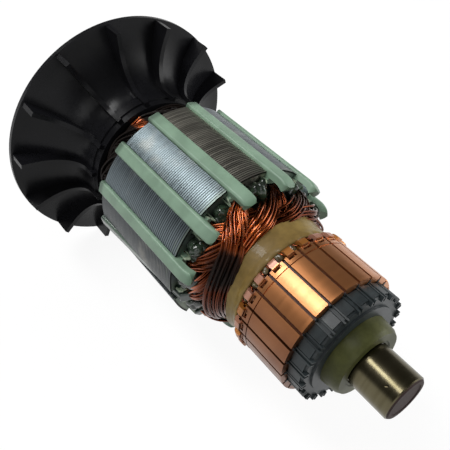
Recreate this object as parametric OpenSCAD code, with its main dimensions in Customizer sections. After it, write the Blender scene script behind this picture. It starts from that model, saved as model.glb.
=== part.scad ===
// Motor armature: a slotted rotor of stamped sheets on an insulated shaft, with
// its windings, a hook commutator at one end and a cooling fan at the other.
// The shaft lies along X. X = 0 is the middle of the bearing seat at the fan end.

/* [Core] */
// Diameter of the stack of stampings
core_d = 35; // [34:0.5:38]
// Thickness of one stamping with its oxide skin
sheet_t = 0.5; // [0.4:0.05:0.6]
// Number of stampings in the stack
sheet_count = 51; // [46:1:56]
// Dark line left between two stampings
sheet_gap = 0.03; // [0.02:0.01:0.06]
// Width of a tooth between two slots
tooth_w = 3.4; // [3:0.1:3.6]
// Thickness of the tooth tips that close the slots
tip_t = 1.2; // [1:0.1:1.4]
// Width of the mouth of a slot
mouth_w = 2.9; // [2.6:0.1:3]
// Distance from the axis to the centre of the round slot bottom
slot_bottom_r = 10.2; // [10:0.1:10.6]

/* [Shaft] */
// Diameter of the shaft inside the core and the fan
shaft_d = 11; // [10.5:0.1:11.4]
// Diameter of the bearing seat at the commutator end
front_seat_d = 9; // [8:0.5:9.5]
// Bare length of that seat in front of the sleeve
front_seat_l = 8.2; // [7:0.2:10]
// Diameter of the bearing seat at the fan end
rear_seat_d = 10; // [8.5:0.5:10]
// Length of that seat
rear_seat_l = 8; // [7:0.5:10]
// Diameter of the plain stub that takes the pinion
stub_d = 8; // [6:0.5:8]
// Length of the stub
stub_l = 8; // [6:0.5:14]
// Chamfer on the ends of the shaft
shaft_chamfer = 0.45; // [0.3:0.05:0.6]
// Wall of the insulating sleeve on the shaft
sleeve_wall = 1.25; // [1:0.05:1.3]
// Length of the sleeve's nose in front of the commutator
nose_l = 3.5; // [2.6:0.1:5]
// Diameter of the nose where it meets the commutator
nose_d = 15; // [14.6:0.1:16]

/* [Slots] */
// Thickness of the slot liners
liner_t = 0.25; // [0.2:0.05:0.3]
// Length by which the liners stand out of the core
liner_out = 1.5; // [1:0.1:1.8]
// Height by which the slot wedges stand proud of the core
wedge_proud = 0.7; // [0.4:0.1:0.9]
// Length by which a wedge stands out at the commutator end
wedge_out = 5.5; // [5:0.1:6]
// Length by which a wedge stands out at the fan end
wedge_back = 0.5; // [0.4:0.1:1.4]
// Angle by which the wedge's end bends down
wedge_bend = 35; // [25:1:38]
// Thickness of the end insulators
insulator_t = 1.2; // [1:0.1:1.4]

/* [Windings] */
// Length of the winding head at the commutator end
head_l = 8.1; // [7.9:0.1:8.6]
// Length of the winding head at the fan end
rear_head_l = 7.2; // [6.9:0.1:7.3]
// Diameter over the winding heads
head_d = 30.5; // [30:0.1:31]
// Thickness of a coil bundle along the head
bundle_w = 1.7; // [1.5:0.1:1.8]

/* [Commutator] */
// Diameter of the brush track
comm_d = 25.5; // [25:0.1:26]
// Length of the brush track
track_l = 9.3; // [8:0.1:12]
// Width of the slot between two bars
bar_gap = 0.5; // [0.4:0.05:0.6]
// Radial depth of a bar
bar_depth = 3; // [2.8:0.1:3.1]
// Depth by which the insulation lies below the brush track
undercut = 0.6; // [0.4:0.1:0.9]
// Length of the ledge behind the brush track
ledge_l = 1.8; // [1.6:0.1:2.2]
// Width of the line turned between track and ledge
line_w = 0.22; // [0.15:0.01:0.3]
// Width of a hook
hook_w = 1.5; // [1.3:0.1:1.6]
// Thickness of a hook
hook_t = 0.7; // [0.6:0.05:0.8]
// Length of the ring that binds the leads
lead_ring_l = 4.7; // [4:0.1:6]
// Diameter of the lead ring next to the hooks
lead_ring_d = 24.4; // [24:0.1:24.8]
// Diameter of the moulded collar in front of the bars
collar_d = 23.3; // [23:0.1:24]
// Length of the collar
collar_l = 3.8; // [3.4:0.1:5]

/* [Fan] */
// Diameter of the fan
fan_d = 56; // [53:0.2:60]
// Number of blades
blade_count = 14; // [12:1:18]
// Thickness of a blade
blade_t = 1; // [0.8:0.1:1.3]
// Depth of a blade at the rim
blade_depth = 6.1; // [5:0.1:7]
// Distance from the core to the face of the fan's collar
fan_gap = 7.4; // [7.4:0.1:9]
// Depth of the fan from the collar's face to the rim
fan_depth = 15; // [14:0.1:16]
// Length of the fan's hub from the collar's face
hub_l = 8.6; // [8:0.1:9.4]
// Diameter of the collar that the blades run into
fan_collar_d = 30; // [29.6:0.1:31]
// Wall of the dished plate
plate_t = 1.2; // [1:0.1:1.5]

/* [Hidden] */
$fn = 64;
slot_count = 12;
bar_count = 24;
slot_span = 5;          // slots that one coil spans
slot_pitch = 360 / slot_count;
bar_pitch = 360 / bar_count;
bar_phase = 1;          // turn of the commutator against the teeth, degrees
fan_phase = 6.2;        // turn of the fan against the teeth, degrees
seat_gap = 0.02;        // clearance between fitted pieces

// Stations along the shaft, counted from the core's face at the commutator end
core_l = sheet_t * sheet_count;
ring_z = head_l + 0.3;
hook_z = ring_z + lead_ring_l + 0.15;
bar_z = hook_z + 1.65;
line_z = bar_z + ledge_l;
collar_z = line_z + track_l;
nose_z = collar_z + collar_l;
nose_end_z = nose_z + nose_l;
front_end_z = nose_end_z + front_seat_l;
fan_z = -core_l - fan_gap;
rim_z = fan_z - fan_depth;
hub_end_z = fan_z - hub_l;
rear_seat_z = hub_end_z - 2;
rear_end_z = rear_seat_z - rear_seat_l - stub_l;
sleeve_end_z = fan_z + 0.3;
core_r = core_d / 2;
lip_r = core_r - tip_t;
sleeve_r = shaft_d / 2 + sleeve_wall;
core_bore_r = sleeve_r + seat_gap;
relief_r = front_seat_d / 2 - 0.4;   // grinding relief behind the front seat
relief_l = 0.6;
comm_r = comm_d / 2;
bar_root_r = comm_r - bar_depth;

function numbered(name, k) = str(name, "_", k < 9 ? "0" : "", k + 1);

// Puts a piece drawn along Z, with the core's face at zero, on the shaft's place along X
module on_shaft() {
    translate([rear_seat_l / 2 - rear_seat_z, 0, 0]) rotate([0, 90, 0]) children();
}

// Ring or disc from a profile of [radius, station] points
module turned(profile) {
    rotate_extrude() polygon(profile);
}

// ---------------------------------------------------------------- core

// Half width of a slot at distance x from the axis
function slot_half(x) = x * tan(slot_pitch / 2) - tooth_w / 2 / cos(slot_pitch / 2);

// Outline of a slot along +X, its walls moved in by inset
module slot_outline(inset) {
    slant = inset / cos(slot_pitch / 2);
    top_x = lip_r - inset;
    polygon([
        [slot_bottom_r, -slot_half(slot_bottom_r) + slant],
        [top_x, -slot_half(top_x) + slant],
        [top_x, slot_half(top_x) - slant],
        [slot_bottom_r, slot_half(slot_bottom_r) - slant]]);
    translate([slot_bottom_r, 0])
        circle(slot_half(slot_bottom_r) * cos(slot_pitch / 2) - inset);
}

module stamping() {
    difference() {
        circle(core_r);
        circle(core_bore_r);
        for (k = [0 : slot_count - 1]) rotate((k + 0.5) * slot_pitch) {
            slot_outline(0);
            translate([lip_r - 0.2, -mouth_w / 2]) square([tip_t + 1, mouth_w]);
        }
    }
}

module core_laminations() {
    color("silver") on_shaft()
        for (i = [1 : sheet_count])
            translate([0, 0, -i * sheet_t]) linear_extrude(sheet_t - sheet_gap) stamping();
}

// Star-shaped plate with one arm on each tooth and a tube round the shaft sleeve
module end_insulator(tube_l) {
    arm_w = tooth_w - 0.5;
    arm_end = lip_r - 0.2;
    ring_r = slot_bottom_r - slot_half(slot_bottom_r) - 0.1;
    linear_extrude(insulator_t) difference() {
        union() {
            circle(ring_r);
            for (k = [0 : slot_count - 1]) rotate(k * slot_pitch) {
                translate([core_bore_r, -arm_w / 2]) square([arm_end - arm_w / 2 - core_bore_r, arm_w]);
                translate([arm_end - arm_w / 2, 0]) circle(arm_w / 2);
            }
        }
        circle(core_bore_r);
    }
    difference() {
        cylinder(r = ring_r - 0.5, h = tube_l);
        translate([0, 0, -1]) cylinder(r = core_bore_r, h = tube_l + 2);
    }
}

module front_end_insulator() {
    color("darkslategray") on_shaft() translate([0, 0, seat_gap]) end_insulator(head_l);
}

module rear_end_insulator() {
    color("darkslategray") on_shaft()
        translate([0, 0, -core_l - seat_gap]) mirror([0, 0, 1]) end_insulator(rear_head_l - 0.6);
}

module slot_liners() {
    wall_gap = seat_gap;
    color("palegreen") on_shaft() translate([0, 0, -core_l - liner_out])
        linear_extrude(core_l + 2 * liner_out)
            for (k = [0 : slot_count - 1]) rotate((k + 0.5) * slot_pitch) difference() {
                slot_outline(wall_gap);
                slot_outline(wall_gap + liner_t);
                translate([lip_r - 1.1, -core_r]) square([core_r, core_d]);
            }
}

// ---------------------------------------------------------------- slot wedges

wedge_w = mouth_w - 0.16;
wedge_top = core_r + wedge_proud;
wedge_round = 0.55;
wedge_bend_r = 13;      // distance from the axis to the centre of the bent end
wedge_foot_r = lip_r - 1;
wedge_tip_r = core_r - 0.9;     // underside of a wedge in front of the core
turn_start = 2.5;               // height at which the end turns lie under the wedges
// Angle by which a winding head thicker than the core's mouth lifts the ends of the wedges
wedge_lift = atan(max(0, head_d / 2 + 0.35 - wedge_tip_r) / (turn_start - 0.9));

// Crown of a wedge: a strip with rounded upper edges, from radius low to its top
module wedge_crown(low) {
    translate([low, -wedge_w / 2]) square([wedge_top - wedge_round - low, wedge_w]);
    translate([low, wedge_round - wedge_w / 2]) square([wedge_top - low, wedge_w - 2 * wedge_round]);
    for (s = [-1, 1])
        translate([wedge_top - wedge_round, s * (wedge_w / 2 - wedge_round)]) circle(wedge_round);
}

module slot_wedge(k) {
    tip_l = (wedge_top - wedge_bend_r) * sin(wedge_bend);
    straight = wedge_out - tip_l;
    foot_half = slot_half(wedge_foot_r) - liner_t - 0.2;
    corner_r = wedge_w / 2 - 0.1;
    color("darkseagreen") on_shaft() rotate((k + 0.5) * slot_pitch) {
        // foot held under the tooth tips
        translate([0, 0, -core_l - wedge_back]) linear_extrude(core_l + wedge_back + 0.9)
            union() {
                translate([wedge_foot_r, -foot_half])
                    square([lip_r - seat_gap - wedge_foot_r, 2 * foot_half]);
                wedge_crown(wedge_foot_r);
            }
        // crown with its end bent towards the shaft and its corners rounded
        translate([wedge_tip_r, 0, 0]) rotate([0, wedge_lift, 0]) translate([-wedge_tip_r, 0, 0])
        intersection() {
            union() {
                linear_extrude(straight) wedge_crown(wedge_tip_r);
                translate([wedge_bend_r, 0, straight]) rotate([90, 0, 0])
                    rotate_extrude(angle = wedge_bend) translate([-wedge_bend_r, 0])
                        wedge_crown(wedge_tip_r);
            }
            rotate([0, 90, 0]) linear_extrude(core_d) union() {
                translate([corner_r - wedge_out, -wedge_w]) square([wedge_out, 2 * wedge_w]);
                translate([-wedge_out, corner_r - wedge_w / 2])
                    square([wedge_out, wedge_w - 2 * corner_r]);
                for (s = [-1, 1])
                    translate([corner_r - wedge_out, s * (wedge_w / 2 - corner_r)]) circle(corner_r);
            }
        }
    }
}

// ---------------------------------------------------------------- coils

// Two layers fill the heads, from the slots' floor to the heads' diameter
head_floor_r = slot_bottom_r - 1.05;
layer_gap = 0.9;
layer_h = (head_d / 2 - head_floor_r - layer_gap) / 2;
outer_r = head_d / 2 - layer_h / 2;
inner_r = head_floor_r + layer_h / 2;
// Two sides share a slot, between its liner and its wedge
side_gap = 0.35;
liner_floor_r = slot_bottom_r - slot_half(slot_bottom_r) * cos(slot_pitch / 2) + seat_gap + liner_t;
side_h = (wedge_foot_r - liner_floor_r - 3 * side_gap) / 2;
upper_side_r = wedge_foot_r - side_gap - side_h / 2;
lower_side_r = liner_floor_r + side_gap + side_h / 2;
coil_turn = slot_span * slot_pitch;
crown_half = 17;                // half of the angle in which a coil folds over
bundle_sides = 8;
// Angles of the sections of one end turn, from its slot to the crown
turn_angles = [0, 1, 5, 22, 40, 58, 68, 75];
end_angles = concat(turn_angles, [for (i = [1 : len(turn_angles) - 1])
    coil_turn - turn_angles[len(turn_angles) - 1 - i]]);

// Height over the core's face of a section at angle a, on a head of height top
function turn_height(a, top) =
    let (m = min(a, coil_turn - a))
    m < 1 ? 0.24 * turn_start :
    m < 5 ? 0.72 * turn_start :
    turn_start + (m - 5) / (coil_turn / 2 - 5) * (top - turn_start);

// How far a coil has folded over at angle a: 0 outside, 180 inside
function fold(a) = 180 * min(1, max(0, (a - coil_turn / 2 + crown_half) / (2 * crown_half)));

// 0 in the slot, 1 just out of it, 2 in the head
function zone(a) =
    let (m = min(a, coil_turn - a))
    m < 1 ? 0 : m < 5 ? 1 : 2;

// Section of a coil: place, direction away from the fold, width and height
function section(a, top, face, sense, w) =
    let (
        turn = fold(a),
        upper = turn < 90,
        head_r = (outer_r + inner_r) / 2 + (outer_r - inner_r) / 2 * cos(turn),
        r = zone(a) == 2 ? head_r : upper ? upper_side_r : lower_side_r,
        out = [cos(a), sin(a), 0],
        widths = upper ? [2.9, 2.5, w] : [1.4, 1.4, w])
    [
        r * out + [0, 0, face + sense * turn_height(a, top)],
        cos(turn) * out + [0, 0, sense * sin(turn)],
        widths[zone(a)],
        zone(a) < 2 ? side_h : layer_h - 0.6 * sin(turn)
    ];

function coil_sections() = concat(
    [for (a = end_angles) section(a, head_l - 1.1, 0, 1, bundle_w)],
    [for (i = [len(end_angles) - 1 : -1 : 0])
        section(end_angles[i], rear_head_l - 1.1, -core_l, -1, bundle_w - 0.4)]);

function unit(v) = v / norm(v);

// Points of the ring round section i of the closed list s
function bundle_ring(s, i) =
    let (
        n = len(s),
        along = unit(s[(i + 1) % n][0] - s[(i + n - 1) % n][0]),
        side = unit(cross(along, s[i][1])),
        up = cross(side, along))
    [for (j = [0 : bundle_sides - 1])
        let (t = (j + 0.5) * 360 / bundle_sides)
        s[i][0] + up * cos(t) * s[i][3] / 2 + side * sin(t) * s[i][2] / 2];

module coil(k) {
    s = coil_sections();
    n = len(s);
    m = bundle_sides;
    color("chocolate") on_shaft() rotate((k + 0.5) * slot_pitch) polyhedron(
        points = [for (i = [0 : n - 1]) each bundle_ring(s, i)],
        faces = [for (i = [0 : n - 1], j = [0 : m - 1])
            let (a = i * m, b = (i + 1) % n * m, next = (j + 1) % m)
            each [[a + j, b + j, b + next], [a + j, b + next, a + next]]]);
}

// ---------------------------------------------------------------- commutator

module lead_ring() {
    r = lead_ring_d / 2;
    color("darkkhaki") on_shaft() turned([
        [core_bore_r, ring_z], [r - 1.2, ring_z], [r - 0.75, ring_z + 0.5],
        [r, hook_z - 0.45], [r - 0.25, hook_z - 0.15], [core_bore_r, hook_z - 0.15]]);
}

// Outline of one bar along +X, with parallel-sided slots beside it
module bar_outline() {
    apex = bar_gap / 2 / sin(bar_pitch / 2);
    reach = comm_r + 2;
    intersection() {
        difference() {
            circle(comm_r);
            circle(bar_root_r);
        }
        polygon([
            [apex, 0],
            [apex + reach, reach * tan(bar_pitch / 2)],
            [apex + reach, -reach * tan(bar_pitch / 2)]]);
    }
}

// Hook seen from the side, in [station, radius]: a strap folded back over the lead
module hook_outline() {
    low = comm_r - 1.65;
    bend = hook_t + 0.35;
    mid = low + bend;
    difference() {
        union() {
            translate([hook_z + bend, mid]) circle(bend);
            translate([hook_z + bend, low]) square([bar_z - hook_z - bend + 0.4, hook_t]);
            translate([hook_z + bend, mid + bend - hook_t]) square([bar_z - hook_z - bend + 0.25, hook_t]);
        }
        translate([hook_z + bend, mid]) circle(bend - hook_t);
        translate([hook_z + bend, mid - bend + hook_t]) square([4, 2 * (bend - hook_t)]);
    }
}

module commutator_bar(k) {
    notch_l = 0.85;
    notch_low = comm_r - 0.95;
    color("peru") on_shaft() rotate(bar_phase + k * bar_pitch) {
        difference() {
            translate([0, 0, bar_z]) linear_extrude(collar_z - bar_z) bar_outline();
            translate([notch_low, -hook_w / 2 - 0.1, bar_z - 1]) cube([2, hook_w + 0.2, notch_l + 1]);
            difference() {
                translate([0, 0, line_z - line_w]) cylinder(r = comm_r + 1, h = line_w);
                translate([0, 0, line_z - 1]) cylinder(r = comm_r - line_w, h = 2);
            }
        }
        translate([0, hook_w / 2, 0]) rotate([90, 0, 0]) rotate([0, 0, 90]) mirror([0, 1, 0])
            linear_extrude(hook_w) hook_outline();
    }
}

module commutator_moulding() {
    hub_r = bar_root_r - seat_gap;
    collar_r = collar_d / 2;
    rib_w = 0.3;
    rib_out = 0.45;
    face_z = nose_z - rib_out;
    boss_r = nose_d / 2 + 1.9;
    color("darkslategray") on_shaft() {
        turned([
            [core_bore_r, hook_z], [comm_r - 1.8, hook_z], [comm_r - 1.8, bar_z - seat_gap],
            [hub_r, bar_z - seat_gap], [hub_r, collar_z + seat_gap],
            [collar_r - 0.35, collar_z + seat_gap], [collar_r - 0.35, face_z - 0.3],
            [collar_r - 0.65, face_z], [boss_r, face_z], [boss_r - 0.1, nose_z - seat_gap],
            [nose_d / 2 - 0.6, nose_z - seat_gap], [core_bore_r, nose_z - seat_gap]]);
        for (k = [0 : bar_count - 1]) {
            // insulation between the bars, and the pair of ribs in line with it
            rotate(bar_phase + (k + 0.5) * bar_pitch) {
                translate([hub_r - 0.2, seat_gap - bar_gap / 2, bar_z])
                    cube([comm_r - undercut - hub_r + 0.2, bar_gap - 2 * seat_gap, collar_z - bar_z + 0.1]);
                for (s = [-1, 1])
                    translate([collar_r - 1, s * 0.36 - rib_w / 2, collar_z + seat_gap])
                        cube([1, rib_w, collar_l - 2 * seat_gap]);
            }
            // raised panel in front of each bar
            rotate(bar_phase + k * bar_pitch)
                translate([0, 0, collar_z + 0.3]) linear_extrude(collar_l - rib_out - 0.7)
                    translate([collar_r - 1, -0.95]) square([0.88, 1.9]);
        }
    }
}

// ---------------------------------------------------------------- shaft

module shaft() {
    c = shaft_chamfer;
    r = shaft_d / 2;
    seat_r = front_seat_d / 2;
    rear_r = rear_seat_d / 2;
    stub_r = stub_d / 2;
    dish_r = seat_r - 1.1;
    color("lightslategray") on_shaft() turned([
        [0, rear_end_z + 1.6], [0.8, rear_end_z + 0.8], [1.6, rear_end_z],
        [stub_r - c, rear_end_z], [stub_r, rear_end_z + c], [stub_r, rear_end_z + stub_l],
        [rear_r - 0.3, rear_end_z + stub_l], [rear_r, rear_end_z + stub_l + 0.3],
        [rear_r, rear_seat_z], [r, rear_seat_z], [r, nose_end_z - relief_l],
        [relief_r, nose_end_z - relief_l], [relief_r, nose_end_z], [seat_r, nose_end_z],
        [seat_r, front_end_z - c], [seat_r - c, front_end_z],
        [dish_r, front_end_z], [dish_r - 0.1, front_end_z - 0.15], [0, front_end_z - 0.15]]);
}

module shaft_sleeve() {
    r = shaft_d / 2 + seat_gap;
    lip_bore_r = front_seat_d / 2 + seat_gap;
    lip_z = nose_end_z - relief_l + seat_gap;
    color("olive") on_shaft() turned([
        [r, sleeve_end_z], [sleeve_r, sleeve_end_z], [sleeve_r, nose_z],
        [nose_d / 2, nose_z], [nose_d / 2 - 0.3, nose_end_z - 0.8],
        [nose_d / 2 - 0.75, nose_end_z], [lip_bore_r + 0.55, nose_end_z],
        [lip_bore_r + 0.35, nose_end_z - 0.2], [lip_bore_r, nose_end_z - 0.2],
        [lip_bore_r, lip_z], [r, lip_z]]);
}

// ---------------------------------------------------------------- fan

fan_rim_r = fan_d / 2;
fan_collar_r = fan_collar_d / 2;
neck_z = fan_z - 4.2;           // foot of the collar
dish_end = 70;                  // the plate's curve ends short of a quarter turn

// Point of the plate's face, from the collar at t = 0 to the rim at t = dish_end,
// moved into the wall by depth
function dish(t, depth) =
    let (
        w = (fan_rim_r - fan_collar_r) / (1 - cos(dish_end)),
        h = (neck_z - rim_z - plate_t) / sin(dish_end),
        along = [w * sin(t), -h * cos(t)])
    [fan_collar_r + w * (1 - cos(t)), neck_z - h * sin(t)]
        + depth * unit([along[1], -along[0]]);

// Outline of a blade: level at its tip, then a hollow curve up to the collar
function blade_outline() =
    let (
        tip_r = fan_rim_r - 0.3,
        land_r = fan_rim_r - 3.5,
        web_r = fan_collar_r + 0.7,
        top_z = rim_z + blade_depth,
        rise = 0.7 * (fan_z - 0.5 - top_z))
    concat(
        [[fan_collar_r - 0.8, fan_z - 0.5], [fan_collar_r - 0.8, neck_z]],
        [for (t = [10 : 12 : dish_end]) dish(t, plate_t / 2)],
        [[tip_r, rim_z + plate_t / 2], [tip_r, top_z]],
        [for (t = [0 : 10 : 90])
            [land_r - (land_r - web_r) * sin(t), top_z + rise * (1 - cos(t))]],
        [[web_r, fan_z - 0.5]]);

module fan() {
    bore_r = shaft_d / 2 + seat_gap;
    hub_r = bore_r + 3.4;
    step_z = fan_z - 1.8;
    color("dimgray") on_shaft() {
        // dished plate, collar and hub
        turned(concat(
            [[bore_r, hub_end_z], [hub_r, hub_end_z], [hub_r, neck_z - plate_t],
                [fan_collar_r - plate_t, neck_z - plate_t]],
            [for (t = [16 : 9 : dish_end]) dish(t, plate_t)],
            [[fan_rim_r - 0.2, rim_z], [fan_rim_r, rim_z + 0.2]],
            [for (t = [dish_end : -10 : 0]) dish(t, 0)],
            [[fan_collar_r, step_z], [fan_collar_r - 0.35, step_z + 0.1],
                [fan_collar_r - 0.35, fan_z], [fan_collar_r - 1.55, fan_z],
                [fan_collar_r - 1.55, neck_z + 1], [hub_r, neck_z + 1],
                [hub_r, fan_z - 0.2], [bore_r, fan_z - 0.2]]));
        for (k = [0 : blade_count - 1])
            rotate(fan_phase + k * 360 / blade_count) rotate([90, 0, 0])
                translate([0, 0, -blade_t / 2]) linear_extrude(blade_t) polygon(blade_outline());
    }
}

shaft();
core_laminations();
front_end_insulator();
rear_end_insulator();
slot_liners();
for (k = [0 : slot_count - 1]) {
    slot_wedge(k);
    coil(k);
}
lead_ring();
for (k = [0 : bar_count - 1])
    commutator_bar(k);
commutator_moulding();
shaft_sleeve();
fan();
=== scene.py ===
"""Looks of a motor armature: its windings, lead binding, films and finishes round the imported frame.

The frame's axis lies along X.  Stations are millimetres along the shaft from the core's face next
to the commutator, positive towards the commutator.  Angles are degrees round the shaft: 0 points
down, 90 along +Y and 180 up.  A turn is an angle over 360.
"""
from __future__ import annotations

import logging
import math
import re
from dataclasses import dataclass, field
from enum import Enum
from functools import cached_property
from itertools import product
from typing import Any, Mapping, Sequence

import bmesh
import bpy
import numpy as np
from bpy.types import Material, Node, NodeSocket, NodeTree, Object
from mathutils import Matrix, Vector

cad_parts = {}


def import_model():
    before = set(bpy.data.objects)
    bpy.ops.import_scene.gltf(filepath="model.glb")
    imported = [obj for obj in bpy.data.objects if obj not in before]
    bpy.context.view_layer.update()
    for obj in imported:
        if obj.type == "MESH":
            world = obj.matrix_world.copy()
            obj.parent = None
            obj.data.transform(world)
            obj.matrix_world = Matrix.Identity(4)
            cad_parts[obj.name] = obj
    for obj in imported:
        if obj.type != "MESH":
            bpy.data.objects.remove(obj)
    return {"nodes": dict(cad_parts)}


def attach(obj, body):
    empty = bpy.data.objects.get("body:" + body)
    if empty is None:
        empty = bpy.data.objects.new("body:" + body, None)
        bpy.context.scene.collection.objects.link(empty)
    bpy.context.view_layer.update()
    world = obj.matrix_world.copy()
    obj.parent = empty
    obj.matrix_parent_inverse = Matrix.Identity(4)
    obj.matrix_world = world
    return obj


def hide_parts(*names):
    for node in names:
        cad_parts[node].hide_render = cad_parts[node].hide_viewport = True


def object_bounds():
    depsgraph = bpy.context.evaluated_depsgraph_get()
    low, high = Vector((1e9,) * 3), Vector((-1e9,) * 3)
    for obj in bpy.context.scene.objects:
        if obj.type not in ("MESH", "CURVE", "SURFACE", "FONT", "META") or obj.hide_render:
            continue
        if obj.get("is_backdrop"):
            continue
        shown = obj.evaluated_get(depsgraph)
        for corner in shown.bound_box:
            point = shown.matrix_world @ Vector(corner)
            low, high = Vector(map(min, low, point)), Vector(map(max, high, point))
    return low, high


LOG = logging.getLogger("armature")
MM = 0.001
CORE_FACE = 47.5  # station zero along X, in millimetres
CORE_LENGTH = 25.5
SLOTS = 12
BARS = 24
BAR_PHASE = 1.0  # angle of the first bar
RESIN_SIDE = 285.0  # angle at which the resin lies thickest
FLOAT = "NodeSocketFloat"
COLOUR = "NodeSocketColor"
WHITE = (1.0, 1.0, 1.0, 1.0)
Array = np.ndarray
Surface = tuple[np.ndarray, np.ndarray]  # points and faces
Span = tuple[float, float]
Place = tuple[float, float, float]
Rgb = tuple[int, int, int]  # red, green and blue from 0 to 255
Inputs = Mapping[Any, Any]  # numbers, colours or sockets by input name or number


# ---- places and meshes


def place(station: Array, radius: Array, angle: Array) -> Array:
    """Points of the row frame, in metres, from station, radius (mm) and angle (degrees).

    Args:
        station: millimetres along the shaft from the core's face.
        radius: millimetres from the axis.
        angle: degrees round the shaft.

    Returns:
        Array whose last axis holds x, y, z: x is the station moved by the core's place, and y and
        z are the radius times the angle's sine and minus its cosine.
    """
    turn = np.radians(angle)
    parts = np.broadcast_arrays(station + CORE_FACE, radius * np.sin(turn), -radius * np.cos(turn))
    return np.stack(parts, axis=-1) * MM


def unit(vectors: Array) -> Array:
    """Vectors along the last axis, scaled to length one."""
    return vectors / np.linalg.norm(vectors, axis=-1, keepdims=True)


def smooth(value: Array, low: float, high: float) -> Array:
    """Cubic step from 0 at low to 1 at high."""
    t = np.clip((np.asarray(value, dtype=float) - low) / (high - low), 0.0, 1.0)
    return t * t * (3.0 - 2.0 * t)


def hump(angle: Array, centre: float, half: float) -> Array:
    """Smooth hump round an angle, all in degrees: 1 at the centre, 0 beyond half a width."""
    away = np.abs((np.asarray(angle, dtype=float) - centre + 180.0) % 360.0 - 180.0)
    return 1.0 - smooth(away, 0.0, half)


def ripple(angle: Array, seed: int, waves: Sequence[int]) -> Array:
    """Sum of sines round a circle with seeded phases, so that it closes on itself.

    Args:
        angle: degrees.
        seed: seed of the phases and shares.
        waves: number of waves round the circle of each sine.

    Returns:
        Values between about -1 and 1.
    """
    rng = np.random.default_rng(seed)
    turn = np.radians(angle)
    shares = rng.uniform(0.5, 1.0, len(waves))
    phases = rng.uniform(0.0, 2.0 * math.pi, len(waves))
    total = sum(s * np.sin(w * turn + p) for s, w, p in zip(shares, waves, phases))
    return total / shares.sum()


def fair(values: Array, knots: Array, at: Array) -> Array:
    """Smooth curve through values at knots, read at given places (monotone cubic Hermite).

    Args:
        values: value at each knot.
        knots: rising knot places.
        at: places to read.

    Returns:
        Values at those places: a cubic between each pair of knots whose slope at a knot is the
        harmonic mean of the slopes beside it, or zero where they differ in sign.
    """
    h = np.diff(knots)
    d = np.diff(values) / h
    slope = np.zeros(len(values))
    both = d[:-1] * d[1:] > 0
    slope[1:-1][both] = 2.0 * d[:-1][both] * d[1:][both] / (d[:-1][both] + d[1:][both])
    slope[0], slope[-1] = d[0], d[-1]
    i = np.clip(np.searchsorted(knots, at, side="right") - 1, 0, len(h) - 1)
    t = (at - knots[i]) / h[i]
    return (
        (1 + 2 * t) * (1 - t) ** 2 * values[i]
        + t * (1 - t) ** 2 * h[i] * slope[i]
        + t * t * (3 - 2 * t) * values[i + 1]
        + t * t * (t - 1) * h[i] * slope[i + 1]
    )


def fair_rows(rows: Array, count: int) -> Array:
    """Smooth curves through the columns of a table.

    Args:
        rows: one row of values per knot.
        count: number of points to read, evenly over the rows' numbers.

    Returns:
        Array of count rows with the same columns.
    """
    knots = np.arange(len(rows), dtype=float)
    at = np.linspace(0.0, len(rows) - 1.0, count)
    return np.stack([fair(column, knots, at) for column in rows.T], axis=1)


def ring_faces(rows: int, cols: int, closed: bool) -> Array:
    """Four-cornered faces of a grid of rows x cols points whose rows close on themselves.

    Args:
        rows: number of rows.
        cols: number of points in a row.
        closed: whether the last row joins the first too.

    Returns:
        Array of faces, four corner numbers each.
    """
    r, c = np.meshgrid(np.arange(rows if closed else rows - 1), np.arange(cols), indexing="ij")
    r2, c2 = (r + 1) % rows, (c + 1) % cols
    quads = np.stack([r * cols + c, r * cols + c2, r2 * cols + c2, r2 * cols + c], axis=-1)
    return quads.reshape(-1, 4)


def repeated(points: Array, one: Array) -> Surface:
    """Points and faces of bodies that are all built alike.

    Args:
        points: bodies x any number of axes x 3.
        one: faces of the first body.

    Returns:
        All points, and the faces of every body.
    """
    count = len(points)
    each = points[0].size // 3
    every = one[None] + (np.arange(count) * each)[:, None, None]
    return points.reshape(-1, 3), every.reshape(-1, 4)


def tubes(centres: Array, radius: float, sides: int) -> Surface:
    """Closed round tubes along closed lines.

    Each ring lies square to its line: the direction along the line is the difference of the
    points before and after, one side direction is its cross product with the way out from the
    shaft, and the ring is the circle in the plane of that direction and its own cross product.
    The way out leans a little along the shaft, so that it is never zero.

    Args:
        centres: strands x points x 3, in metres; each line closes on itself.
        radius: radius of the tube in metres.
        sides: corners of a ring.

    Returns:
        Points and faces of all tubes.
    """
    along = unit(np.roll(centres, -1, axis=1) - np.roll(centres, 1, axis=1))
    out = centres * np.array([0.0, 1.0, 1.0]) + np.array([0.35, 0.0, 0.0]) * MM
    side = unit(np.cross(along, out))
    up = np.cross(side, along)
    turn = (np.arange(sides) * 2.0 * math.pi / sides)[:, None]
    ring = radius * (np.cos(turn) * up[..., None, :] + np.sin(turn) * side[..., None, :])
    return repeated(centres[..., None, :] + ring, ring_faces(centres.shape[1], sides, True))


def slabs(front: Array, back: Array) -> Surface:
    """Closed thin slabs between two faces.

    Args:
        front: slabs x rows x columns x 3 points of one face.
        back: the other face, in the same order.

    Returns:
        Points and faces: a ring of both faces for each row, and a cap on the first and last row.
    """
    rows, cols = front.shape[1:3]
    j = np.arange(cols - 1)
    cap = np.stack([j, j + 1, 2 * cols - 2 - j, 2 * cols - 1 - j], axis=1)
    one = np.concatenate([ring_faces(rows, 2 * cols, False), cap, cap + (rows - 1) * 2 * cols])
    return repeated(np.concatenate([front, back[:, :, ::-1]], axis=2), one)


def taken(work: bmesh.types.BMesh) -> Surface:
    """Points and faces of an edit mesh, which is then freed.

    Args:
        work: the edit mesh; all its faces have the same number of corners.

    Returns:
        Points and faces.
    """
    points = np.array([v.co[:] for v in work.verts])
    faces = np.array([[v.index for v in f.verts] for f in work.faces])
    work.free()
    return points, faces


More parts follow.
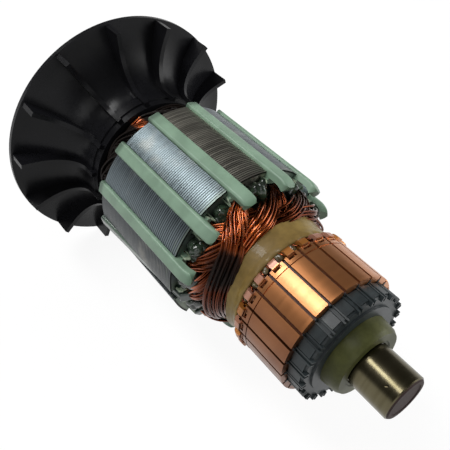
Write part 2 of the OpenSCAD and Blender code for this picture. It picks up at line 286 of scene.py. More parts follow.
def lumps(places: Array, sizes: Array, rough: float, seed: int) -> Surface:
    """Closed uneven lumps round the shaft.

    Each is a sphere scaled along, out from and round the shaft.  Its radius is multiplied by one
    plus a sum of sines of the distance along seeded directions, so that no two are alike.

    Args:
        places: n x 3 stations, radii (mm) and angles (degrees) of the middles.
        sizes: n x 3 half sizes along, out from and round the shaft, in mm.
        rough: share by which the radius varies.
        seed: seed of the directions.

    Returns:
        Points and faces of all lumps.
    """
    rng = np.random.default_rng(seed)
    work = bmesh.new()
    bmesh.ops.create_icosphere(work, subdivisions=3, radius=1.0)
    sphere, faces = taken(work)
    every, corners = [], []
    for row, (spot, size) in enumerate(zip(places, sizes)):
        ways = rng.normal(size=(7, 3))
        waves = np.sin(sphere @ ways.T * 2.1 + rng.uniform(0.0, 6.3, 7)).mean(axis=1)
        body = sphere * (1.0 + rough * 2.0 * waves)[:, None] * size
        angle = spot[2] + np.degrees(body[:, 2] / spot[1])
        every.append(place(spot[0] + body[:, 0], spot[1] + body[:, 1], angle))
        corners.append(faces + row * len(sphere))
    return np.concatenate(every), np.concatenate(corners)


def new_object(name: str, surface: Surface, shade: bool = True) -> Object:
    """Makes a mesh object at the origin, its faces turned outwards.

    Args:
        name: name of the piece.
        surface: points in metres, and faces.
        shade: whether its faces are shaded smooth.

    Returns:
        The object, linked to the scene.
    """
    points, faces = surface
    mesh = bpy.data.meshes.new(name)
    mesh.from_pydata(points.reshape(-1, 3).tolist(), [], faces.tolist())
    work = bmesh.new()
    work.from_mesh(mesh)
    bmesh.ops.recalc_face_normals(work, faces=work.faces)
    work.to_mesh(mesh)
    work.free()
    mesh.polygons.foreach_set("use_smooth", np.full(len(mesh.polygons), shade))
    mesh.update()
    obj = bpy.data.objects.new(name, mesh)
    bpy.context.scene.collection.objects.link(obj)
    return obj


def read(items: Any, name: str, width: int = 1, kind: type = float) -> Array:
    """Values of one property of all of a mesh's points, faces or corners.

    Args:
        items: the mesh's collection.
        name: name of the property.
        width: numbers per item.
        kind: type of the numbers.

    Returns:
        One row per item, or a plain list of numbers where the width is one.
    """
    values = np.empty(len(items) * width, kind)
    items.foreach_get(name, values)
    return values.reshape(-1, width) if width > 1 else values


def soften(obj: Object, limit: float = 32.0) -> None:
    """Shades a solid smoothly over its facets and keeps its edges.

    A corner's normal is the sum of the normals of the faces that meet at the same point, each
    times its area, over those that lean less than a limit from the corner's own face.

    Args:
        obj: the solid.
        limit: the limit in degrees.
    """
    mesh = obj.data
    points = np.round(read(mesh.vertices, "co", 3), 7)
    group = np.unique(points, axis=0, return_inverse=True)[1].ravel()
    group = group[read(mesh.loops, "vertex_index", kind=int)]
    count = read(mesh.polygons, "loop_total", kind=int)
    facing = np.repeat(read(mesh.polygons, "normal", 3), count, axis=0)
    weight = np.repeat(read(mesh.polygons, "area"), count)[:, None] * facing
    order = np.argsort(group, kind="stable")
    sizes = np.bincount(group)
    starts = np.cumsum(sizes) - sizes
    result = facing.copy()
    for size in np.unique(sizes[sizes > 0]):
        rows = order[starts[sizes == size][:, None] + np.arange(size)]
        near = np.einsum("gik,gjk->gij", facing[rows], facing[rows]) > math.cos(math.radians(limit))
        result[rows] = np.einsum("gij,gjk->gik", near, weight[rows])
    result /= np.maximum(np.linalg.norm(result, axis=1, keepdims=True), 1e-20)
    mesh.polygons.foreach_set("use_smooth", np.full(len(mesh.polygons), True))
    mesh.normals_split_custom_set(result.tolist())


# ---- shader graphs


def tone(colour: Any) -> Any:
    """Linear colour of a red, green and blue between 0 and 255.

    Args:
        colour: the three numbers, or a socket.

    Returns:
        Red, green, blue and alpha from 0 to 1; a socket is given back as it is.
    """
    if isinstance(colour, NodeSocket):
        return colour
    shares = [value / 255 for value in colour]
    return (*(c / 12.92 if c <= 0.04045 else ((c + 0.055) / 1.055) ** 2.4 for c in shares), 1.0)


@dataclass
class Graph:
    """Adds and links shader nodes in one tree."""

    tree: NodeTree

    def feed(self, node: Node, inputs: Inputs) -> None:
        """Sets or links inputs of a node.

        Args:
            node: the node.
            inputs: values or sockets by input name or number.
        """
        for name, value in inputs.items():
            if isinstance(value, NodeSocket):
                self.tree.links.new(value, node.inputs[name])
            else:
                node.inputs[name].default_value = value

    def put(self, kind: str, inputs: Inputs | None = None, **settings: Any) -> Node:
        """Adds a node.

        Args:
            kind: Blender's name of the node type.
            inputs: values or sockets by input name or number.
            settings: properties of the node.

        Returns:
            The node.
        """
        node = self.tree.nodes.new(kind)
        for name, value in settings.items():
            setattr(node, name, value)
        self.feed(node, inputs or {})
        return node

    def put_group(self, tree: NodeTree, inputs: Inputs | None = None) -> Any:
        """Adds a group node of that tree and gives its outputs."""
        return self.put("ShaderNodeGroup", inputs, node_tree=tree).outputs

    def where(self) -> Any:
        """Outputs Station, Radius and Turn of the shaft place group."""
        return self.put_group(GROUPS.shaft_place)

    def coords(self) -> NodeSocket:
        """Object coordinates, in metres."""
        return self.put("ShaderNodeTexCoord").outputs["Object"]

    def math(self, operation: str, *values: Any, clamp: bool = False) -> NodeSocket:
        """Result of a Math node on up to three values or sockets."""
        inputs = dict(enumerate(values))
        return self.put("ShaderNodeMath", inputs, operation=operation, use_clamp=clamp).outputs[0]

    def times(self, first: Any, second: Any) -> NodeSocket:
        """Product of two values."""
        return self.math("MULTIPLY", first, second)

    def line(self, value: Any, factor: Any, offset: Any, clamp: bool = False) -> NodeSocket:
        """Value times a factor plus an offset."""
        return self.math("MULTIPLY_ADD", value, factor, offset, clamp=clamp)

    def most(self, first: Any, second: Any) -> NodeSocket:
        """The greater of two values."""
        return self.math("MAXIMUM", first, second)

    def span(self, value: Any, low: float, high: float, first: float = 0.0, last: float = 1.0) -> NodeSocket:
        """Value eased from first at low to last at high, and held beyond them."""
        inputs = {0: value, 1: low, 2: high, 3: first, 4: last}
        return self.put("ShaderNodeMapRange", inputs, interpolation_type="SMOOTHSTEP").outputs[0]

    def mix(self, share: Any, first: Any, second: Any) -> NodeSocket:
        """Colour between two colours, each a socket or three numbers from 0 to 255."""
        inputs = {0: share, 6: tone(first), 7: tone(second)}
        return self.put("ShaderNodeMix", inputs, data_type="RGBA").outputs[2]

    def lit(self, colour: NodeSocket, value: Any) -> NodeSocket:
        """Colour with its brightness multiplied by a value."""
        return self.put("ShaderNodeHueSaturation", {"Value": value, "Color": colour}).outputs[0]

    def steps(self, value: Any, colours: Sequence[Rgb]) -> NodeSocket:
        """Picks one of several colours by a value from 0 to 1.

        Args:
            value: the value.
            colours: the colours, each for an even share of the values.

        Returns:
            The colour.
        """
        node = self.put("ShaderNodeValToRGB", {0: value})
        node.color_ramp.interpolation = "CONSTANT"
        elements = node.color_ramp.elements
        while len(elements) < len(colours):
            elements.new(0.5)
        for number, (element, colour) in enumerate(zip(elements, colours)):
            element.position = number / len(colours)
            element.color = tone(colour)
        return node.outputs[0]

    def noise(self, vector: Any, scale: Any, detail: float = 2.0, rough: float = 0.5) -> NodeSocket:
        """Value of a noise, about 0.3 to 0.7."""
        inputs = {"Vector": vector, "Scale": scale, "Detail": detail, "Roughness": rough}
        return self.put("ShaderNodeTexNoise", inputs).outputs[0]

    def vector(self, x: Any, y: Any, z: Any) -> NodeSocket:
        """Vector of three values or sockets."""
        return self.put("ShaderNodeCombineXYZ", {0: x, 1: y, 2: z}).outputs[0]

    def relief(
        self, height: NodeSocket, distance: float, strength: Any = 1.0, under: NodeSocket | None = None
    ) -> NodeSocket:
        """Normal of a relief.

        Args:
            height: height of the relief, from 0 to 1.
            distance: metres that a height of 1 stands for.
            strength: share of the relief that shows.
            under: normal of a relief that lies below it.

        Returns:
            The normal.
        """
        inputs = {"Height": height, "Distance": distance, "Strength": strength}
        if under is not None:
            inputs["Normal"] = under
        return self.put("ShaderNodeBump", inputs).outputs[0]

    def mottled(self, light: Rgb, dark: Rgb, *values: float) -> Any:
        """Outputs of the mottle group for two colours and its four numbers, in its own order."""
        return self.put_group(GROUPS.mottle, dict(enumerate((tone(light), tone(dark), *values))))


@dataclass
class GroupGraph(Graph):
    """The graph of a shader node group."""

    source: Any  # outputs of the group's input node
    result: Node  # the group's output node

    @classmethod
    def start(cls, name: str, inputs: Mapping[str, Any], outputs: Mapping[str, str]) -> GroupGraph:
        """Starts a group.

        Args:
            name: name of the group.
            inputs: default of each input: four numbers for a colour, one for a value.
            outputs: socket type of each output.

        Returns:
            The group's graph.
        """
        tree = bpy.data.node_groups.new(name, "ShaderNodeTree")
        for label, default in inputs.items():
            kind = COLOUR if isinstance(default, tuple) else FLOAT
            socket = tree.interface.new_socket(name=label, in_out="INPUT", socket_type=kind)
            socket.default_value = default
        for label, kind in outputs.items():
            tree.interface.new_socket(name=label, in_out="OUTPUT", socket_type=kind)
        source = tree.nodes.new("NodeGroupInput").outputs
        return cls(tree, source, tree.nodes.new("NodeGroupOutput"))

    def give(self, *values: NodeSocket) -> NodeTree:
        """Links the values to the group's outputs, in order, and gives its tree."""
        self.feed(self.result, dict(enumerate(values)))
        return self.tree


class SharedGroups:
    """Shader node groups that several finishes use, each built once, when first asked for."""

    @cached_property
    def shaft_place(self) -> NodeTree:
        """Group that gives station and radius in millimetres and the turn round the shaft.

        Station is x less the core's place, radius the length of y and z, turn their angle.

        Returns:
            The group's tree.
        """
        g = GroupGraph.start("shaft_place", {}, {"Station": FLOAT, "Radius": FLOAT, "Turn": FLOAT})
        x, y, z = g.put("ShaderNodeSeparateXYZ", {0: g.coords()}).outputs
        square = g.math("ADD", g.times(y, y), g.times(z, z))
        angle = g.math("ARCTAN2", y, g.times(z, -1.0))
        return g.give(
            g.line(x, 1.0 / MM, -CORE_FACE),
            g.times(g.math("SQRT", square), 1.0 / MM),
            g.math("FRACT", g.line(angle, 0.5 / math.pi, 1.0)),
        )

    @cached_property
    def mottle(self) -> NodeTree:
        """Group that varies a colour and a roughness by two sizes of noise.

        It mixes the two colours by a coarse noise and adds a fine one to value and roughness.

        Returns:
            The group's tree.
        """
        inputs = {
            "Light": (0.5, 0.5, 0.5, 1.0),
            "Dark": (0.4, 0.4, 0.4, 1.0),
            "Patch Scale": 200.0,
            "Grain Scale": 3000.0,
            "Roughness": 0.4,
            "Roughness Spread": 0.1,
        }
        outputs = {"Color": COLOUR, "Roughness": FLOAT, "Height": FLOAT}
        g = GroupGraph.start("mottle", inputs, outputs)
        coords = g.coords()
        share = g.span(g.noise(coords, g.source["Patch Scale"], 3.0), 0.35, 0.65)
        grain = g.noise(coords, g.source["Grain Scale"], 2.0)
        colour = g.mix(share, g.source["Dark"], g.source["Light"])
        spread = g.times(g.math("SUBTRACT", grain, share), g.source["Roughness Spread"])
        rough = g.math("ADD", g.source["Roughness"], spread, clamp=True)
        return g.give(g.lit(colour, g.span(grain, 0.3, 0.7, 0.9, 1.1)), rough, grain)

    @cached_property
    def turned_lines(self) -> NodeTree:
        """Group that gives fine lines round the shaft, as a lathe or grinder leaves.

        They are noise that varies fast along the shaft and hardly round it.

        Returns:
            The group's tree.
        """
        inputs = {"Lines per mm": 12.0, "Streak": 0.6}
        g = GroupGraph.start("turned_lines", inputs, {"Height": FLOAT, "Smear": FLOAT})
        where = g.where()
        along = g.times(where["Station"], g.source["Lines per mm"])
        turn = g.times(where["Turn"], 2.0 * math.pi)
        east = g.times(g.math("COSINE", turn), g.source["Streak"])
        north = g.times(g.math("SINE", turn), g.source["Streak"])
        lines = g.noise(g.vector(along, east, north), 1.0, 3.0, 0.6)
        slow = g.times(where["Station"], 0.9)
        return g.give(lines, g.noise(g.vector(slow, east, north), 1.3, 2.0))


GROUPS = SharedGroups()


@dataclass
class Look(Graph):
    """The graph of a material in the making, with a Principled shader on its output."""

    material: Material
    shader: Node

    @classmethod
    def start(cls, name: str) -> Look:
        """Starts a material.

        Args:
            name: name of the material.

        Returns:
            Its graph.
        """
        material = bpy.data.materials.new(name)
        graph = empty_graph(material)
        shader = graph.put("ShaderNodeBsdfPrincipled")
        graph.put("ShaderNodeOutputMaterial", {0: shader.outputs[0]})
        return cls(graph.tree, material, shader)

    def finish(self, inputs: Inputs) -> Material:
        """Feeds the shader and gives the material."""
        self.feed(self.shader, inputs)
        return self.material


def empty_graph(owner: Any) -> Graph:
    """Graph of a material or world, emptied of its nodes.

    Args:
        owner: the material or world.

    Returns:
        The graph.
    """
    owner.use_nodes = True
    owner.node_tree.nodes.clear()
    return Graph(owner.node_tree)


# ---- finishes


@dataclass(frozen=True)
class MouldedFinish:
    """A resin, film or plastic: mottled colour, fine grain and a soft or hard gloss."""

    name: str
    light: Rgb
    dark: Rgb
    roughness: float = 0.4
    spread: float = 0.1
    patch_scale: float = 250.0
    grain_scale: float = 3000.0
    grain_height: float = 0.00002
    lump_scale: float = 0.0
    lump_height: float = 0.0002
    coat: float = 0.0
    coat_roughness: float = 0.1
    specular: float = 0.5

    def build(self) -> Material:
        """Takes colour and roughness from the mottle group, and relief from its grain and from lumps.

        Returns:
            The material.
        """
        g = Look.start(self.name)
        scales = (self.patch_scale, self.grain_scale)
        look = g.mottled(self.light, self.dark, *scales, self.roughness, self.spread)
        normal = g.relief(look["Height"], self.grain_height)
        if self.lump_scale:
            swell = g.noise(g.coords(), self.lump_scale, 3.0)
            normal = g.relief(swell, self.lump_height, under=normal)
        return g.finish({
            "Base Color": look["Color"],
            "Roughness": look["Roughness"],
            "Normal": normal,
            "Coat Weight": self.coat,
            "Coat Roughness": self.coat_roughness,
            "Specular IOR Level": self.specular,
        })


@dataclass(frozen=True)
class StripFilm:
    """Sage green slot strips: satin, with painted shade at their bent tips, at their rear ends and along the
    side away from the light.
    """

    light: Rgb = (130, 157, 135)
    dark: Rgb = (125, 153, 130)
    shaded_tip: Rgb = (82, 112, 88)
    shaded_green: Rgb = (40, 56, 47)
    tip_stations: Span = (4.2, 5.7)
    rear_shade_stations: Span = (-25.4, -24.2)
    shaded_stations: Span = (-12.0, 2.0)
    shaded_starts: Span = (0.74, 0.77)  # turns
    shaded_stops: Span = (0.93, 0.96)

    def build(self) -> Material:
        """Darkens mottled film with painted shade: by the station at the tips and the rear end, and by the
        turn on the side away from the light.

        Returns:
            The material.
        """
        g = Look.start("wedge_film")
        look = g.mottled(self.light, self.dark, 60.0, 300.0, 0.4, 0.06)
        where = g.where()
        # painted shade at the bent tips, and at the rear end towards the fan
        tip_shading = g.span(where["Station"], *self.tip_stations, 0.0, 0.8)
        rear = g.span(where["Station"], *self.rear_shade_stations, 0.55, 0.0)
        colour = g.mix(rear, g.mix(tip_shading, look["Color"], self.shaded_tip), self.shaded_green)
        # painted shade along the side away from the light, fuller towards the front, under a little coat
        stops = g.span(where["Turn"], *self.shaded_stops, 1.0, 0.0)
        side = g.times(g.span(where["Turn"], *self.shaded_starts), stops)
        share = g.times(side, g.span(where["Station"], *self.shaded_stations, 0.75, 1.0))
        return g.finish({
            "Base Color": g.mix(share, colour, self.shaded_green),
            "Roughness": look["Roughness"],
            "Specular IOR Level": 0.45,
            "Coat Weight": g.times(share, 0.6),
            "Coat Roughness": 0.15,
        })


@dataclass(frozen=True)
class GroundSteel:
    """Ground and oiled shaft steel with fine lines round it, and a dark end face."""

    light: Rgb = (98, 92, 72)
    dark: Rgb = (90, 84, 64)
    end: Rgb = (66, 54, 52)
    nick: Rgb = (70, 60, 44)
    roughness: float = 0.26
    end_stations: Span = (41.2, 41.3)

    def build(self) -> Material:
        """Lets a metal's colour drift along the shaft, with faint lines and a few nicks.

        Returns:
            The material.
        """
        g = Look.start("ground_steel")
        lines = g.put_group(GROUPS.turned_lines, {"Lines per mm": 4.0, "Streak": 0.2})
        colour = g.mix(g.span(lines["Smear"], 0.35, 0.65), self.dark, self.light)
        face = g.span(g.where()["Station"], *self.end_stations)
        colour = g.mix(face, colour, self.end)
        nick = g.span(g.noise(g.coords(), 900.0, 1.0), 0.70, 0.76)
        rough = g.span(lines["Height"], 0.3, 0.7, self.roughness - 0.004, self.roughness + 0.006)
        return g.finish({
            "Base Color": g.mix(g.times(nick, 0.6), colour, self.nick),
            "Roughness": g.line(face, 0.3, rough),
            "Metallic": g.math("SUBTRACT", 1.0, face),
            "Specular IOR Level": g.line(face, -0.42, 0.5),
            "Normal": g.relief(nick, -0.00004, 0.6),
        })


@dataclass(frozen=True)
class LaminatedSteel:
    """Punched core sheets: a bright edge per sheet and dark gaps; each tooth has its own tone: brown where
    tarnished, a painted highlight on the facing tooth and painted shade on two lower teeth.
    """

    pitch: float = 0.5
    bright: Rgb = (120, 132, 136)
    slate: Rgb = (112, 122, 127)
    brown: Rgb = (178, 174, 162)
    painted_shade: Rgb = (74, 78, 80)
    gap: Rgb = (24, 25, 25)
    green: Rgb = (112, 124, 106)
    rim: Span = (17.0, 17.3)  # radii over which the gaps begin
    fade_stations: Span = (-24.0, -6.0)
    green_stations: Span = (-3.0, 0.0)

    def build(self) -> Material:
        """Takes the gap from the place within a sheet and the tooth's tone from the turn.

        Returns:
            The material.
        """
        g = Look.start("laminated_steel")
        where = g.where()
        station, turn = where["Station"], where["Turn"]
        phase = g.math("FRACT", g.line(station, 1.0 / self.pitch, 100.0))
        middle = g.math("ABSOLUTE", g.math("SUBTRACT", phase, 0.5))
        near = g.span(station, *self.fade_stations, 0.35, 1.0)
        gap = g.times(g.times(g.span(middle, 0.22, 0.47), g.span(where["Radius"], *self.rim)), near)
        # tooth tones: brown is tarnished steel, the lighter tone facing the camera is a painted highlight,
        # and the dark tone on two lower teeth is painted shade
        tones = [self.slate] * SLOTS
        tones[6], tones[7], tones[9], tones[10] = self.brown, self.bright, self.painted_shade, self.painted_shade
        steel = g.steps(g.math("FRACT", g.math("ADD", turn, 0.5 / SLOTS)), tones)
        sheet = g.math("FLOOR", g.times(station, 1.0 / self.pitch))
        shift = g.noise(g.vector(sheet, 0.3, g.times(turn, 9.0)), 1.7, 0.0)
        steel = g.lit(steel, g.span(shift, 0.3, 0.7, 0.88, 1.08))
        stain = g.span(g.noise(g.coords(), 130.0, 3.0), 0.5, 0.75)
        steel = g.mix(g.times(stain, 0.4), steel, self.brown)
        edge = g.times(g.span(station, *self.green_stations), 0.5)
        steel = g.mix(g.times(edge, g.span(shift, 0.4, 0.6)), steel, self.green)
        return g.finish({
            "Base Color": g.mix(gap, steel, self.gap),
            "Metallic": 1.0,
            "Roughness": g.span(shift, 0.3, 0.7, 0.36, 0.44),
            "Normal": g.relief(g.math("POWER", middle, 2.0), -0.0001, g.times(near, 0.5)),
        })


@dataclass(frozen=True)
class EnamelledWire:
    """Enamelled copper wire: deep red-brown with orange where light strikes, a dark patch, and painted shade
    at the sides and behind the core.
    """

    bright: Rgb = (208, 108, 50)
    deep: Rgb = (104, 40, 17)
    shaded_rosy: Rgb = (58, 24, 14)
    patch_and_shade_tone: Rgb = (18, 9, 5)
    patch_angles: Span = (238.0, 17.0)  # middle and half width of the dark patch
    patch_stations: Span = (8.6, 3.8)  # middle and half length
    low_turns: Span = (0.635, 0.67)
    low_stations: Span = (3.0, 5.5)
    top_turns: Span = (0.50, 0.53)
    rear_shade_stations: Span = (-27.0, -25.0)
    seen_turn: float = 0.562  # where the head behind the core stays orange

    def build(self) -> Material:
        """Gives each strand its tone from its attribute, and darkens places round the shaft.

        The dark patch is where the distance from its middle, in spans of the turn and the
        station with noise added, is under one.  The head behind the core gets painted shade too.

        Returns:
            The material.
        """
        g = Look.start("enamelled_wire")
        strand = g.put("ShaderNodeAttribute", attribute_name="strand").outputs["Fac"]
        where = g.where()
        station, turn = where["Station"], where["Turn"]
        along = g.noise(g.coords(), 420.0, 2.0)
        share = g.math("ADD", g.times(strand, 0.6), g.times(along, 0.45), clamp=True)
        colour = g.mix(share, self.deep, self.bright)
        # painted shade: the lower side of the head and its far side are mixed towards a dark rosy tone
        low = g.times(g.span(turn, *self.low_turns), g.span(station, *self.low_stations))
        ends = g.most(g.span(turn, *self.top_turns, 0.9, 0.0), low)
        colour = g.mix(g.times(ends, 0.88), colour, self.shaded_rosy)
        angle, wide = self.patch_angles
        middle, length = self.patch_stations
        across = g.math("POWER", g.line(turn, 360.0 / wide, -angle / wide), 2.0)
        ahead = g.math("POWER", g.line(station, 1.0 / length, -middle / length), 2.0)
        away = g.math("SQRT", g.math("ADD", across, ahead))
        # dark patch round patch_angles and patch_stations, its edge broken by noise; the painted shade
        # behind the core is added to it below
        patch_and_shade = g.span(g.math("ADD", away, g.line(along, 0.9, -0.45)), 0.55, 1.25, 0.97, 0.0)
        # painted shade on the head behind the core, except round seen_turn
        behind = g.span(station, *self.rear_shade_stations, 1.0, 0.0)
        hidden = g.math("ABSOLUTE", g.math("SUBTRACT", turn, self.seen_turn))
        patch_and_shade = g.most(patch_and_shade, g.times(behind, g.span(hidden, 0.006, 0.016)))
        return g.finish({
            "Base Color": g.mix(patch_and_shade, colour, self.patch_and_shade_tone),
            "Metallic": g.span(patch_and_shade, 0.0, 1.0, 1.0, 0.0),
            "Specular IOR Level": g.span(patch_and_shade, 0.0, 1.0, 0.5, 0.15),
            "Roughness": g.line(patch_and_shade, 0.3, g.span(along, 0.3, 0.7, 0.2, 0.32)),
            "Coat Weight": g.span(g.most(patch_and_shade, ends), 0.0, 1.0, 0.6, 0.05),
            "Coat Roughness": 0.08,
        })


@dataclass(frozen=True)
class BarCopper:
    """Turned commutator copper: smooth and satin, with duller hooks of two tones and painted shade on the
    lower bars.
    """

    clean: Rgb = (204, 140, 90)
    brown: Rgb = (186, 116, 66)
    shaded_copper: Rgb = (100, 56, 27)
    orange: Rgb = (166, 104, 40)
    pink: Rgb = (186, 134, 112)
    painted_shade_starts: Span = (0.625, 0.69)  # turns
    painted_shade_stops: Span = (0.9, 1.0)
    hook_stations: Span = (14.8, 15.1)

    def build(self) -> Material:
        """Takes the colour from the bar's own tone, patches and station, painted shade from the turn, and
        lines from their group.

        Returns:
            The material.
        """
        g = Look.start("bar_copper")
        where = g.where()
        turn = where["Turn"]
        lines = g.put_group(GROUPS.turned_lines, {"Lines per mm": 6.0, "Streak": 0.3})
        bar = g.math("FLOOR", g.line(turn, float(BARS), 0.5 - BAR_PHASE * BARS / 360.0))
        own = g.noise(g.vector(bar, 0.37, 0.61), 0.83, 0.0)
        patch = g.noise(g.coords(), 90.0, 2.0)
        share = g.line(patch, 0.7, g.line(own, 0.5, -0.2), clamp=True)
        # painted shade on the lower bars, broken up by the patch noise
        painted_shade = g.times(g.span(turn, *self.painted_shade_starts), g.span(turn, *self.painted_shade_stops, 1.0, 0.0))
        painted_shade = g.times(painted_shade, g.span(patch, 0.3, 0.7, 0.75, 0.95))
        track = g.mix(painted_shade, g.mix(share, self.clean, self.brown), self.shaded_copper)
        behind = g.span(where["Station"], *self.hook_stations, 1.0, 0.0)
        hooks = g.mix(g.span(own, 0.44, 0.56), self.orange, self.pink)
        return g.finish({
            "Base Color": g.mix(behind, track, hooks),
            "Metallic": g.span(behind, 0.0, 1.0, 0.9, 0.5),
            "Roughness": g.line(behind, 0.12, g.span(lines["Smear"], 0.3, 0.7, 0.34, 0.4)),
            "Normal": g.relief(lines["Height"], 0.00001, 0.12),
            "Coat Weight": 0.35,
            "Coat Roughness": 0.26,
        })


@dataclass(frozen=True)
class CommutatorMoulding:
    """Dark glossy moulding compound, red-brown with copper dust between the bars."""

    light: Rgb = (46, 53, 55)
    dark: Rgb = (33, 39, 41)
    slot: Rgb = (62, 24, 12)
    collar_stations: Span = (25.9, 26.05)

    def build(self) -> Material:
        """Tells the collar from the insulation between the bars by the station.

        Returns:
            The material.
        """
        g = Look.start("commutator_moulding")
        look = g.mottled(self.light, self.dark, 150.0, 1200.0, 0.42, 0.05)
        between = g.span(g.where()["Station"], *self.collar_stations, 1.0, 0.0)
        return g.finish({
            "Base Color": g.mix(between, look["Color"], self.slot),
            "Roughness": look["Roughness"],
            "Normal": g.relief(look["Height"], 0.00001, 0.4),
            "Specular IOR Level": 0.4,
        })


LINER_FILM = MouldedFinish("liner_film", (172, 186, 160), (140, 156, 132), 0.4, 0.08, 300.0, coat=0.2)
INSULATOR_RESIN = MouldedFinish(
    "insulator_resin", (50, 66, 50), (22, 30, 22), 0.24, 0.12, 500.0, 2500.0, lump_scale=700.0, coat=0.5
)
LEAD_RESIN = MouldedFinish(
    "lead_resin", (142, 120, 66), (120, 98, 52), 0.46, 0.06, 90.0, 900.0, 0.00001, coat=0.15, specular=0.25
)
FLOOD_RESIN = MouldedFinish(
    "flood_resin", (104, 94, 66), (64, 48, 28), 0.28, 0.1, 500.0, 1500.0, 0.00001, 600.0, coat=0.5
)
SLEEVE_PLASTIC = MouldedFinish(
    "sleeve_plastic", (88, 90, 50), (68, 70, 36), 0.42, 0.06, 120.0, 1500.0, 0.00001, specular=0.2
)
FAN_PLASTIC = MouldedFinish(
    "fan_plastic", (22, 22, 25), (15, 15, 17), 0.3, 0.06, 80.0, 1500.0, 0.00001, specular=0.18
)


# ---- sub-assemblies


def dress(obj: Object, material: Material) -> None:
    """Gives every face of an object one material."""
    obj.data.materials.clear()
    obj.data.materials.append(material)


def settle(obj: Object, material: Material, slot: str, solid: str = "") -> None:
    """Gives a piece its material and body, logs its slot's name, and lets it stand for a solid.

    Args:
        obj: the piece.
        material: its material.
        slot: its slot's name.
        solid: name of the node that it replaces, if any.
    """
    dress(obj, material)
    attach(obj, "root")
    if solid:
        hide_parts(solid)
    LOG.info("made %s of %s", obj.name, slot)


def mark_strands(obj: Object, tones: Array) -> None:
    """Writes the attribute of one number per point from which the wire takes its tone."""
    obj.data.attributes.new("strand", "FLOAT", "POINT").data.foreach_set("value", tones)


@dataclass
class Frame:
    """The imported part: its nodes by name."""

    nodes: dict[str, Object]

    def dress(self, family: str, material: Material, soft: bool = True) -> None:
        """Gives the node of a name, or the numbered nodes of a family, a material.

        Args:
            family: the name, without a number.
            material: the material.
            soft: whether its curves are shaded smooth.
        """
        names = [name for name in self.nodes if re.fullmatch(family + r"(_\d+)?", name)]
        for name in names:
            dress(self.nodes[name], material)
            if soft:
                soften(self.nodes[name])
        LOG.info("dressed %d nodes of %s", len(names), family)


class Lay(Enum):
    """How a coil lies in the head at the commutator: the order in which the coils went in."""

    UNDER = "from the top of one slot to the bottom of another, below the later coils"
    LAST = "over all the others"
    RETURN = "from top to top"
    LOW = "from bottom to bottom"


Knots = tuple[tuple[float, float, float, float, float], ...]
# angle from the first slot, station before the face, radius, width and thickness of the bundle
START: Knots = (
    (0.0, 0.4, 13.8, 2.4, 2.0), (1.5, 2.2, 14.1, 2.6, 1.8), (8.0, 4.4, 13.9, 4.0, 1.6),
    (19.0, 6.4, 13.2, 4.6, 1.5),
)
END: Knots = ((146.0, 2.2, 11.2, 1.8, 2.0), (150.0, 0.4, 11.0, 1.4, 2.2))
LAYS: dict[Lay, Knots] = {
    Lay.UNDER: START + (
        (33.0, 7.6, 12.7, 4.4, 1.5), (50.0, 7.8, 12.0, 3.4, 1.6), (75.0, 7.0, 10.9, 2.4, 1.7),
        (104.0, 5.6, 10.3, 2.2, 1.7), (130.0, 3.8, 10.6, 2.2, 1.7)) + END,
    Lay.LAST: (
        (0.0, 0.4, 13.9, 2.4, 2.0), (2.0, 1.8, 14.3, 2.6, 1.8), (9.0, 3.4, 14.5, 3.4, 1.6),
        (20.0, 6.0, 14.4, 4.6, 1.4), (34.0, 7.9, 14.0, 5.0, 1.3), (55.0, 8.6, 13.5, 5.2, 1.3),
        (85.0, 8.2, 12.8, 4.6, 1.3), (112.0, 6.6, 12.0, 3.4, 1.5), (132.0, 4.4, 11.4, 2.6, 1.7)) + END,
    Lay.RETURN: START + (
        (33.0, 7.4, 12.4, 4.0, 1.5), (60.0, 7.2, 11.6, 3.0, 1.6), (95.0, 6.6, 11.8, 3.0, 1.6),
        (118.0, 5.9, 12.6, 3.6, 1.6), (131.0, 4.9, 13.3, 3.6, 1.5), (141.0, 3.4, 13.8, 3.2, 1.6),
        (147.0, 1.8, 13.9, 2.6, 1.8), (150.0, 0.4, 13.8, 2.4, 2.0)),
    Lay.LOW: (
        (0.0, 0.4, 11.0, 1.4, 2.2), (4.0, 2.2, 11.2, 1.8, 2.0), (20.0, 4.0, 11.4, 2.6, 1.7),
        (45.0, 5.8, 11.6, 3.0, 1.6), (75.0, 6.4, 11.0, 2.4, 1.7), (104.0, 5.6, 10.3, 2.2, 1.7),
        (130.0, 3.8, 10.6, 2.2, 1.7)) + END,
}
LAY_OF_SLOT = {
    2: Lay.RETURN, 3: Lay.RETURN, 4: Lay.RETURN, 6: Lay.LAST, 7: Lay.LOW, 8: Lay.LOW, 9: Lay.LOW,
}


